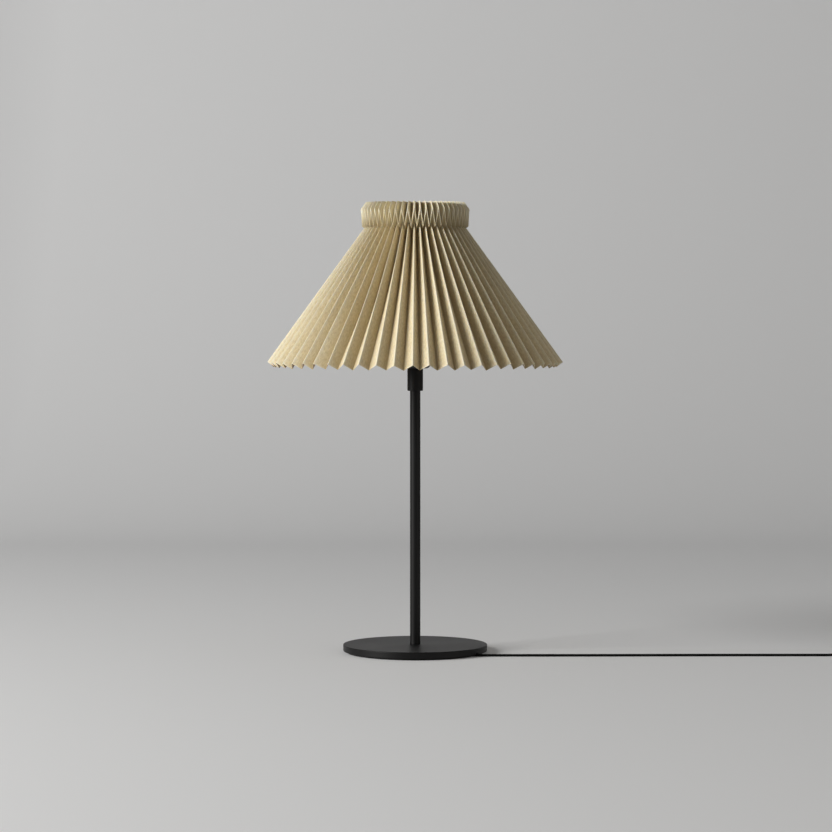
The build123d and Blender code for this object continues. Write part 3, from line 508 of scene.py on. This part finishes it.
# The skirt leans in to the neck, the paper turns out to the brim, and the collar's band leans in again.
ridge_folds = ((180 - 54.27, 0.2168), (49.0, 0.0177), (180 - 54.0, 0.0111))
valley_folds = ((180 - 52.9, 0.2071), (26.5, 0.0186), (180 - 52.8, 0.0373))
ridge = crease(ridge_foot_r, hem_z + ridge_hem_rise, *ridge_folds)
valley = crease(valley_foot_r, hem_z, *valley_folds)
skirt_rows = 16
turn_rows = 2
band_rows = 2
levels = []
for stretch, count in enumerate((skirt_rows, turn_rows, band_rows)):
    for step in range(count):
        share = step / count
        levels.append([line[stretch].lerp(line[stretch + 1], share) for line in (ridge, valley)])
levels.append([ridge[-1], valley[-1]])

bpy.ops.object.select_all(action="DESELECT")
bpy.ops.mesh.primitive_circle_add(vertices=2 * pleats, radius=ridge[0].x)
shade = bpy.context.object
shade.name = "paper_shade"
bpy.ops.object.mode_set(mode="EDIT")
bpy.ops.mesh.select_all(action="SELECT")
level_step = 0.01
for _ in levels[1:]:
    bpy.ops.mesh.extrude_region_move(TRANSFORM_OT_translate={"value": (0, 0, level_step)})
bpy.ops.object.mode_set(mode="OBJECT")

# Pleats folded by hand are a little uneven, and nothing holds them at the hem.
fold_error = math.radians(0.17)
hem_error = 0.0003
shuffle = random.Random(23)
turns_aside = [shuffle.gauss(0.0, fold_error) for _ in range(2 * pleats)]
hem_turns_aside = [shuffle.gauss(0.0, fold_error) for _ in range(2 * pleats)]
hem_lifts = [shuffle.gauss(0.0, hem_error) for _ in range(2 * pleats)]
crease_and_level = []
for vertex in shade.data.vertices:
    level = round(vertex.co.z / level_step)
    number = round((math.atan2(vertex.co.y, vertex.co.x) - first_ridge) / half_pleat) % (2 * pleats)
    radius, height = levels[level][number % 2]
    looseness = 1 - min(level / skirt_rows, 1.0)
    aside = turns_aside[number] + hem_turns_aside[number] * looseness
    azimuth = first_ridge + number * half_pleat + aside
    lifted = height + hem_lifts[number] * looseness
    vertex.co = (radius * math.cos(azimuth), radius * math.sin(azimuth), lifted)
    crease_and_level.append((number, level))

# The strip's own map: the crease's number along the strip, and metres up from the hem.
level_heights = [0.0]
for before, after in zip(levels, levels[1:]):
    level_heights.append(level_heights[-1] + (after[0] - before[0]).length)
paper_map = shade.data.uv_layers.new(name="paper")
for face in shade.data.polygons:
    numbers = [crease_and_level[vertex][0] for vertex in face.vertices]
    wraps = max(numbers) - min(numbers) > 1
    for loop in face.loop_indices:
        number, level = crease_and_level[shade.data.loops[loop].vertex_index]
        across = number + 2 * pleats if wraps and number == 0 else number
        paper_map.data[loop].uv = (across, level_heights[level])

bpy.ops.object.mode_set(mode="EDIT")
bpy.ops.mesh.select_all(action="SELECT")
bpy.ops.mesh.normals_make_consistent(inside=False)
bpy.ops.object.mode_set(mode="OBJECT")
rounding = shade.modifiers.new("rounding", "BEVEL")
rounding.offset_type = "WIDTH"
rounding.width = fold_back_width
rounding.segments = 3
rounding.limit_method = "ANGLE"
rounding.angle_limit = math.radians(least_fold_angle)
bpy.ops.object.modifier_apply(modifier="rounding")
wall = shade.modifiers.new("wall", "SOLIDIFY")
wall.thickness = paper_thickness
wall.offset = -1.0
bpy.ops.object.modifier_apply(modifier="wall")

paper = Finish(
    "cream_paper",
    (0.70, 0.60, 0.40),
    roughness=0.85,
    Subsurface_Weight=0.3,
    Subsurface_Radius=(1.0, 0.75, 0.4),
    Subsurface_Scale=0.001,
)
thin_pulp = (0.590, 0.488, 0.300)
thick_pulp = (0.81, 0.704, 0.484)
# A paler cream for the collar's painted light, a brown for the valleys' painted shade, and a pale cream for
# worn folds with a painted highlight.
collar_painted_light_cream = (0.92, 0.84, 0.63)
fold_shade_brown = (0.36, 0.27, 0.13)
worn_and_highlight_cream = (0.86, 0.79, 0.63)
strip = paper.node("ShaderNodeUVMap", {"uv_map": "paper"}, {})
strip_metres = paper.node("ShaderNodeMapping", {}, {"Vector": strip, "Scale": (strip_width, 1.0, 1.0)})
# The fibres' pattern is drawn out along the pleats.
fibre_scale = (strip_width, 0.35, 1.0)
strip_fibres = paper.node("ShaderNodeMapping", {}, {"Vector": strip, "Scale": fibre_scale})
fibres = paper.noise(per_metre=620, detail=5.0, place=strip_fibres)
flecks = paper.noise(per_metre=1500, detail=2.0, place=strip_metres)
clouds = paper.noise(per_metre=45, place=strip_metres)
grain = paper.ramp(fibres * 0.6 + flecks * 0.25 + clouds * 0.15, 0.36, 0.64)
sheet_color = paper.color(grain, thin_pulp, thick_pulp)

# The collar is painted paler as painted light, the valleys get a painted brown shade, and folds and cut edges
# get a pale line that is partly wear and partly painted highlight.
across_strip = paper.node("ShaderNodeSeparateXYZ", {}, {0: strip}, 0)
along_strip = paper.node("ShaderNodeSeparateXYZ", {}, {0: strip}, 1)
neck_v, brim_v = level_heights[skirt_rows], level_heights[skirt_rows + turn_rows]
neck_blend = 0.002
worn_and_highlight_width = 0.0006
worn_and_highlight_reach = 0.0016
cut_edge_narrowing = 1.6
fold_shade_start = 0.35
collar_painted_light_share = 0.55
fold_shade_share = 0.64
worn_and_highlight_share = 0.8
to_crease = across_strip.swing(0.5) * strip_width
to_collar_fold = along_strip.away_from(neck_v).at_most(along_strip.away_from(brim_v))
to_hem_or_top = along_strip.away_from(0.0).at_most(along_strip.away_from(level_heights[-1]))
to_cut_edge = to_hem_or_top * cut_edge_narrowing
to_fold = to_crease.at_most(to_collar_fold).at_most(to_cut_edge)
# Pale lines along the folds and cut edges, partly wear and partly a painted highlight where the ridges catch
# the light.
worn_and_highlight_mask = paper.ramp(to_fold, worn_and_highlight_width, worn_and_highlight_reach, start=1.0, end=0.0)
# Painted shade: browner towards each valley, where the folds lie in shade.
fold_shade_mask = paper.ramp(across_strip.swing(1.0), fold_shade_start, 1.0)
# Painted light: the collar is painted paler than the skirt.
in_collar = paper.ramp(along_strip, neck_v - neck_blend, neck_v + neck_blend)
collar_lit_color = paper.color(in_collar * collar_painted_light_share, sheet_color, collar_painted_light_cream)
fold_shaded_color = paper.color(fold_shade_mask * fold_shade_share, collar_lit_color, fold_shade_brown)
paper.color(worn_and_highlight_mask * (1 - fold_shade_mask) * worn_and_highlight_share, fold_shaded_color, worn_and_highlight_cream)
paper.bump(fibres + flecks, depth=0.00012)
paper.paint(shade)
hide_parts("pleated_shade")
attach(shade, "shade")

# ------------------------------------------------------------------------------------------------ switch
# A two-part black moulded housing, screwed together from below, with a rocker on a steel pin. The rocker is
# dished, with a raised end to press.
moulding.paint("switch_base", "switch_cover", "switch_rocker")
nickel.paint("switch_pin")
brass.paint("switch_contacts")
zinc.paint("switch_screws")

# ------------------------------------------------------------------------------------------------ plug
# A flat two-pin plug moulded onto the lead, with soft edges and finger grips across both flats. Its boot is
# ribbed, so that the lead bends gently there.
plug_low, plug_high = (Vector(corner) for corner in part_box("plug_body"))
plug_middle = (plug_low + plug_high) / 2
plug_size = plug_high - plug_low
plug_back_width = 0.015
plug_back_height = 0.011
plug_edge = 0.0028
bpy.ops.object.select_all(action="DESELECT")
bpy.ops.mesh.primitive_cube_add(size=1.0)
plug = bpy.context.object
plug.name = "plug_body_gripped"
for vertex in plug.data.vertices:
    width, height = (plug_back_width, plug_back_height) if vertex.co.x > 0 else (plug_size.y, plug_size.z)
    vertex.co = plug_middle + Vector((vertex.co.x * plug_size.x, vertex.co.y * width, vertex.co.z * height))
soft_edges = plug.modifiers.new("soft_edges", "BEVEL")
soft_edges.width = plug_edge
soft_edges.segments = 5
bpy.ops.object.modifier_apply(modifier="soft_edges")

# The grips are grooves across both flats, which fade out towards the edges. The bevels' faces are all smaller
# than the least area of a flat.
grip_grooves = 6
grip_pitch = 0.0026
grip_depth = 0.0007
grip_start = plug_low.x + 0.011
grip_end = grip_start + grip_grooves * grip_pitch
grip_fade_steepness = 5
least_flat_area = 0.0001
for face in plug.data.polygons:
    face.select = abs(face.normal.z) > 0.9 and face.area > least_flat_area
bpy.ops.object.mode_set(mode="EDIT")
bpy.ops.mesh.select_mode(type="FACE")
bpy.ops.mesh.subdivide(number_cuts=60)
bpy.ops.object.mode_set(mode="OBJECT")
for vertex in plug.data.vertices:
    if vertex.select and grip_start < vertex.co.x < grip_end:
        to_back = (vertex.co.x - plug_low.x) / plug_size.x
        half_flat = (plug_size.y + (plug_back_width - plug_size.y) * to_back) / 2 - plug_edge
        from_the_edge = max(0.0, 1 - abs(vertex.co.y - plug_middle.y) / half_flat)
        fade = min(1.0, from_the_edge * grip_fade_steepness)
        wave = 0.5 - 0.5 * math.cos(2 * math.pi * (vertex.co.x - grip_start) / grip_pitch)
        inwards = -1 if vertex.co.z > plug_middle.z else 1
        vertex.co.z += inwards * grip_depth * wave * fade
smooth(plug)
moulding.paint(plug)
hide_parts("plug_body")
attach(plug, "lamp")

boot_low, boot_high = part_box("plug_boot")
boot_length = boot_high[0] - boot_low[0]
boot_back_r = (boot_high[2] - boot_low[2]) / 2
boot_front_r = 0.0022
boot_grip = 0.0001
boot_bore_r = cord_r - boot_grip
boot_ribs = 7
rib_groove = 0.0011
rib_groove_share = 0.7
# Along each rib: its flat top, and the groove that follows it.
rib_profile = ((0.0, 0.0), (0.55, 0.0), (0.62, rib_groove), (0.93, rib_groove))
boot_outline = [(boot_bore_r, 0.0)]
for rib in range(boot_ribs):
    for share, inset in rib_profile:
        along = (rib + share) / boot_ribs
        radius = boot_back_r + (boot_front_r - boot_back_r) * along
        groove = min(inset, (radius - cord_r) * rib_groove_share)
        boot_outline.append((radius - groove, along * boot_length))
boot_outline += [(boot_front_r, boot_length), (boot_bore_r, boot_length)]
boot = spun("plug_boot_ribbed", boot_outline, steps=48)
boot_middle_y = (boot_low[1] + boot_high[1]) / 2
boot_middle_z = (boot_low[2] + boot_high[2]) / 2
lay_down = Matrix.Rotation(math.radians(90), 4, "Y")
boot.data.transform(Matrix.Translation((boot_low[0], boot_middle_y, boot_middle_z)) @ lay_down)
smooth(boot, angle=30)
moulding.paint(boot)
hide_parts("plug_boot")
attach(boot, "lamp")
moulding.paint("plug_pin_sleeves")
nickel.paint("plug_pins")

# ------------------------------------------------------------------------------------------------ floor
# A seamless pale grey sweep, which bends up into the backdrop. It is shown a little lighter than it throws
# light back, and far out on the left it is darkened with painted shade, where the main light stands close
# above it.
sweep_width = 12.0
sweep_front = -4.6
sweep_back = 1.6
sweep_height = 2.4
sweep_bend_r = 1.6
bpy.ops.object.select_all(action="DESELECT")
bpy.ops.mesh.primitive_plane_add(size=1.0)
sweep = bpy.context.object
sweep.name = "floor"
for vertex in sweep.data.vertices:
    vertex.co = (vertex.co.x * sweep_width, sweep_back if vertex.co.y > 0 else sweep_front, 0.0)
bpy.ops.object.mode_set(mode="EDIT")
bpy.ops.mesh.select_mode(type="EDGE")
bpy.ops.mesh.select_all(action="DESELECT")
bpy.ops.object.mode_set(mode="OBJECT")
for edge in sweep.data.edges:
    edge.select = all(sweep.data.vertices[corner].co.y > 0 for corner in edge.vertices)
bpy.ops.object.mode_set(mode="EDIT")
bpy.ops.mesh.spin(steps=32, angle=math.radians(-90), center=(0, sweep_back, sweep_bend_r), axis=(1, 0, 0))
bpy.ops.mesh.extrude_region_move(TRANSFORM_OT_translate={"value": (0, 0, sweep_height)})
bpy.ops.mesh.select_all(action="SELECT")
bpy.ops.mesh.remove_doubles(threshold=0.0001)
bpy.ops.mesh.normals_make_consistent(inside=False)
bpy.ops.object.mode_set(mode="OBJECT")
bpy.ops.object.shade_smooth()

thrown_grey = (0.53, 0.535, 0.55)
shown_grey = (0.785, 0.795, 0.815)
shown_glow = (0.05, 0.05, 0.05)
far_left_painted_shade = (0.12, 0.12, 0.12)
far_start = 0.8
far_end = 2.16
far_reach = 4.0
far_shade_share = 0.88
sweep_paint = Finish("pale_grey_sweep", (0.35, 0.355, 0.355), roughness=0.9, Emission_Strength=1.0)
camera_path = sweep_paint.node("ShaderNodeLightPath", {}, {}, "Is Camera Ray")
glossy_path = sweep_paint.node("ShaderNodeLightPath", {}, {}, "Is Glossy Ray")
through_path = sweep_paint.node("ShaderNodeLightPath", {}, {}, "Is Transmission Ray")
shown = camera_path + glossy_path + through_path
sweep_color = sweep_paint.color(shown, thrown_grey, shown_grey)
sweep_place = sweep_paint.node("ShaderNodeTexCoord", {}, {}, "Object")
to_the_right = sweep_paint.node("ShaderNodeSeparateXYZ", {}, {0: sweep_place}, 0)
far_left_shade_mask = sweep_paint.ramp(to_the_right * (-1 / far_reach), far_start / far_reach, far_end / far_reach)
sweep_paint.color(far_left_shade_mask * far_shade_share, sweep_color, far_left_painted_shade)
sweep_paint.color(shown, (0.0, 0.0, 0.0), shown_glow, "Emission Color")
sweep_paint.paint(sweep)

# ------------------------------------------------------------------------------------------------ light
# A large soft light from the front left, a weak fill from the right, and a dim even room.
lamp_middle = Vector((0, 0, 0.3))


def soft_light(name, place, size, power, tint):
    """A square soft light that looks at the lamp's middle."""
    data = bpy.data.lights.new(name, "AREA")
    data.size = size
    data.energy = power
    data.color = tint
    light = bpy.data.objects.new(name, data)
    light.location = place
    light.rotation_euler = (lamp_middle - Vector(place)).to_track_quat("-Z", "Y").to_euler()
    bpy.context.scene.collection.objects.link(light)


soft_light("key", (-3.75, -1.85, 1.6), size=2.2, power=216.0, tint=(1.0, 0.985, 0.955))
soft_light("fill", (3.0, -1.8, 0.8), size=2.0, power=15.0, tint=(1.0, 0.94, 0.86))
world = bpy.data.worlds.new("room")
bpy.context.scene.world = world
world.use_nodes = True
room = Nodes(world.node_tree, "Background")
room.set("Strength", 1.0)
room_light = (0.130, 0.127, 0.120)
room_shown = (0.42, 0.42, 0.42)
room_path = room.node("ShaderNodeLightPath", {}, {}, "Is Camera Ray")
room.color(room_path, room_light, room_shown, "Color")
bpy.context.scene.view_settings.view_transform = "Standard"
